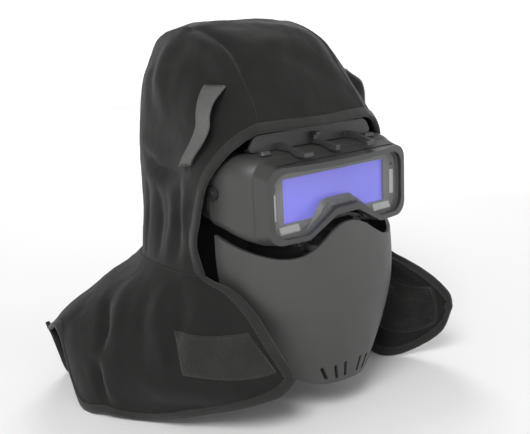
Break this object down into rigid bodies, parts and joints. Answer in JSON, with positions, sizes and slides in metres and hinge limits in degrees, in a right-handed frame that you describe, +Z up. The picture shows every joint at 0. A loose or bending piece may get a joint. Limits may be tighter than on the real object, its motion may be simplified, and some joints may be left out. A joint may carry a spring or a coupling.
{
  "type": "welding hood with auto-darkening goggles",
  "caption": "Flame-resistant cloth welding hood with a shoulder bib, compact auto-darkening goggles and a moulded lower-face mask.",
  "frame": {"origin": "on the floor under the middle of the object's box, as the hood stands on its hem", "axes": "+X to the wearer's left, -Y the way the filter window faces, +Z up; the filter window's centre is at X 0, Y -0.1058, Z 0.1745 m"},
  "size_m": [0.3171, 0.2556, 0.3008],
  "materials": {
    "hood_cloth": "matte",
    "binding_tape": "matte",
    "hook_tape": "matte",
    "loop_tape": "matte",
    "webbing": "matte",
    "housing_plastic": "matte",
    "screw_steel": "satin",
    "cartridge_plastic": "satin",
    "filter_glass": "gloss",
    "solar_cell": "satin",
    "sensor_window": "gloss",
    "cell_steel": "satin",
    "board": "satin",
    "ledge_plastic": "satin",
    "clear_lens": "gloss",
    "seal_foam": "matte",
    "elastic_strap": "matte",
    "bezel_plastic": "satin",
    "gasket_rubber": "matte",
    "mask_plastic": "matte",
    "baffle_mesh": "matte",
    "clip_plastic": "satin",
    "button_rubber": "matte"
  },
  "bodies": {
    "hood": {"crown_gusset": "hood_cloth", "side_panel_left": "hood_cloth", "side_panel_right": "hood_cloth", "bib_right": "hood_cloth", "bib_left": "hood_cloth", "bib_back": "hood_cloth", "opening_binding": "binding_tape", "hem_binding_right": "binding_tape", "hem_binding_left": "binding_tape", "hem_binding_back": "binding_tape", "hook_strip": "hook_tape", "loop_strip": "loop_tape", "brow_tape": "loop_tape", "webbing_loop_left": "webbing", "webbing_loop_right": "webbing"},
    "goggles": {"goggle_housing": "housing_plastic", "brow_guard": "housing_plastic", "brow_guard_screws": "screw_steel", "adapter_rail_left": "housing_plastic", "adapter_rail_right": "housing_plastic", "centre_hook": "housing_plastic", "snap_studs": "housing_plastic", "filter_frame": "cartridge_plastic", "filter_glass": "filter_glass", "solar_cells": "solar_cell", "arc_sensors": "sensor_window", "battery_cells": "cell_steel", "control_board": "board", "nose_ledges": "ledge_plastic", "inner_lens": "clear_lens", "filter_retainer": "cartridge_plastic", "face_seal_frame": "housing_plastic", "face_seal": "seal_foam", "mask_bracket_left": "housing_plastic", "mask_bracket_right": "housing_plastic", "mask_pins": "screw_steel", "head_strap": "elastic_strap", "strap_clip_pins": "screw_steel"},
    "bezel": {"front_bezel": "bezel_plastic", "cover_lens": "clear_lens", "lens_gasket": "gasket_rubber"},
    "mask": {"mask_shell": "mask_plastic", "vent_baffle": "baffle_mesh", "chin_pad": "seal_foam"},
    "clip_left": {"strap_clip_left": "clip_plastic"},
    "clip_right": {"strap_clip_right": "clip_plastic"},
    "slider": {"strap_slider": "clip_plastic"},
    "shade_key": {"shade_button": "button_rubber"},
    "sensitivity_key": {"sensitivity_button": "button_rubber"},
    "delay_key": {"delay_button": "button_rubber"}
  },
  "joints": [
    {"name": "goggles_pull", "type": "slide", "parent": "hood", "child": "goggles", "axis": [0, -1, 0], "range_m": [0, 0.012]},
    {"name": "bezel_pull", "type": "slide", "parent": "goggles", "child": "bezel", "axis": [0, -1, 0], "range_m": [0, 0.012]},
    {"name": "mask_swing", "type": "hinge", "parent": "goggles", "child": "mask", "pos_m": [0, -0.1008, 0.139], "axis": [-1, 0, 0], "range_deg": [0, 8]},
    {"name": "clip_swivel_left", "type": "hinge", "parent": "goggles", "child": "clip_left", "pos_m": [0.0816, -0.0628, 0.1805], "axis": [1, 0, 0], "range_deg": [-12, 12]},
    {"name": "clip_swivel_right", "type": "hinge", "parent": "goggles", "child": "clip_right", "pos_m": [-0.0816, -0.0628, 0.1805], "axis": [1, 0, 0], "range_deg": [-12, 12]},
    {"name": "strap_adjust", "type": "slide", "parent": "goggles", "child": "slider", "axis": [1, 0, 0], "range_m": [-0.012, 0.012]},
    {"name": "shade_press", "type": "slide", "parent": "goggles", "child": "shade_key", "axis": [0, -1, 0], "range_m": [0, 0.0008], "stiffness_N_per_m": 300},
    {"name": "sensitivity_press", "type": "slide", "parent": "goggles", "child": "sensitivity_key", "axis": [0, -1, 0], "range_m": [0, 0.0008], "stiffness_N_per_m": 300},
    {"name": "delay_press", "type": "slide", "parent": "goggles", "child": "delay_key", "axis": [0, -1, 0], "range_m": [0, 0.0008], "stiffness_N_per_m": 300}
  ]
}
